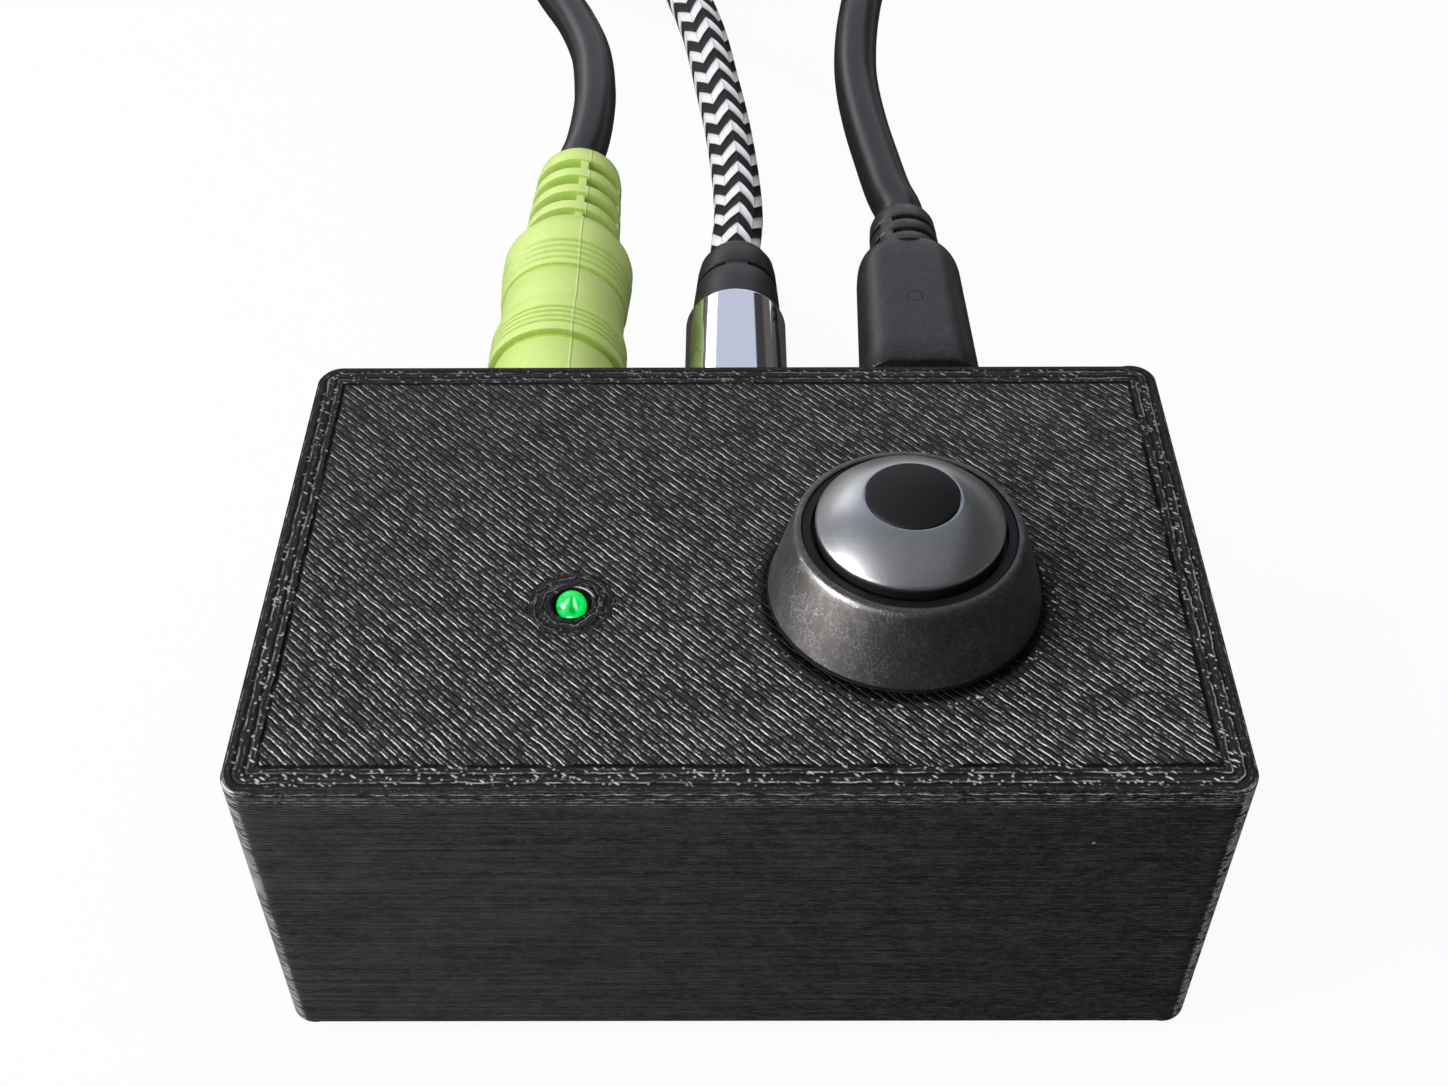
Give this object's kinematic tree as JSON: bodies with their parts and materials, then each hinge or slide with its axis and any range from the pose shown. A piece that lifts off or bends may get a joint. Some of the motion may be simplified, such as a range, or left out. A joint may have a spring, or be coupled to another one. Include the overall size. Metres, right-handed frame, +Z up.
{
  "type": "audio source selector",
  "caption": "Small black printed box with a round turn-and-press knob and a status light, with speaker, player and USB leads plugged into its back.",
  "frame": {"origin": "centre of the case's footprint, on the table top under its feet", "axes": "+X along the front of the case to the right, +Y towards the rear wall with the sockets, +Z up along the knob's axis"},
  "size_m": [0.0821, 0.2817, 0.0484],
  "materials": {
    "printed_black": "3-D printed, fine layer lines",
    "screw_steel": "zinc plated",
    "insert_brass": "plain",
    "foot_rubber": "matte",
    "board_green": "solder mask",
    "socket_black": "moulded",
    "tinned_metal": "tinned",
    "socket_steel": "nickel plated",
    "encoder_plastic": "moulded",
    "encoder_zinc": "die cast",
    "rotor_plastic": "moulded",
    "spring_steel": "plain",
    "shaft_metal": "turned",
    "knob_black": "satin",
    "skirt_metal": "satin, dark",
    "dome_metal": "satin, finely scratched",
    "led_green": "lit",
    "relay_white": "moulded",
    "chip_black": "moulded",
    "capacitor_sleeve": "sleeve",
    "lime_plastic": "soft moulded",
    "pin_metal": "nickel plated",
    "cord_black": "satin",
    "plug_chrome": "polished",
    "boot_black": "matte",
    "cord_braid": "black and white braid",
    "usb_black": "moulded",
    "strap_fabric": "woven"
  },
  "bodies": {
    "case": {"case_shell": "printed_black", "base_plate": "printed_black", "base_screws": "screw_steel", "thread_inserts": "insert_brass", "rubber_feet": "foot_rubber", "main_board": "board_green", "board_screws": "screw_steel", "speaker_jack": "socket_black", "player_jack": "socket_black", "jack_tabs": "tinned_metal", "usb_socket": "socket_steel", "usb_tongue": "socket_black", "encoder_base": "encoder_plastic", "encoder_bushing": "encoder_zinc", "encoder_frame": "socket_steel", "encoder_pins": "tinned_metal", "detent_spring": "spring_steel", "switch_dome": "spring_steel", "lock_washer": "screw_steel", "panel_nut": "screw_steel", "led_lens": "led_green", "led_wires": "tinned_metal", "led_spacer": "socket_black", "relays": "relay_white", "control_chip": "chip_black", "chip_legs": "tinned_metal", "resistors": "chip_black", "capacitors": "capacitor_sleeve", "lime_plug": "lime_plastic", "lime_pin": "pin_metal", "lime_cord": "cord_black", "lime_coil": "cord_black", "lime_end_plug": "lime_plastic", "lime_end_pin": "pin_metal", "chrome_shell": "plug_chrome", "chrome_boot": "boot_black", "chrome_pin": "pin_metal", "braid_cord": "cord_braid", "braid_coil": "cord_braid", "chrome_end_shell": "plug_chrome", "chrome_end_boot": "boot_black", "chrome_end_pin": "pin_metal", "usb_plug": "usb_black", "usb_plug_shell": "socket_steel", "usb_cord": "cord_black", "usb_coil": "cord_black", "usb_end_plug": "usb_black", "usb_end_shell": "socket_steel", "coil_strap": "strap_fabric"},
    "rotor": {"encoder_rotor": "rotor_plastic"},
    "knob": {"encoder_shaft": "shaft_metal", "knob_core": "knob_black", "knob_skirt": "skirt_metal", "knob_dome": "dome_metal", "dome_inlay": "knob_black"}
  },
  "joints": [
    {"name": "knob_turn", "type": "hinge", "parent": "case", "child": "rotor", "pos_m": [0.0131, -0.0043, 0.027], "axis": [0, 0, 1], "continuous": true},
    {"name": "knob_press", "type": "slide", "parent": "rotor", "child": "knob", "axis": [0, 0, -1], "range_m": [0, 0.0004], "stiffness_N_per_m": 6000, "springref_m": -0.0004, "deforming": ["switch_dome"]}
  ]
}
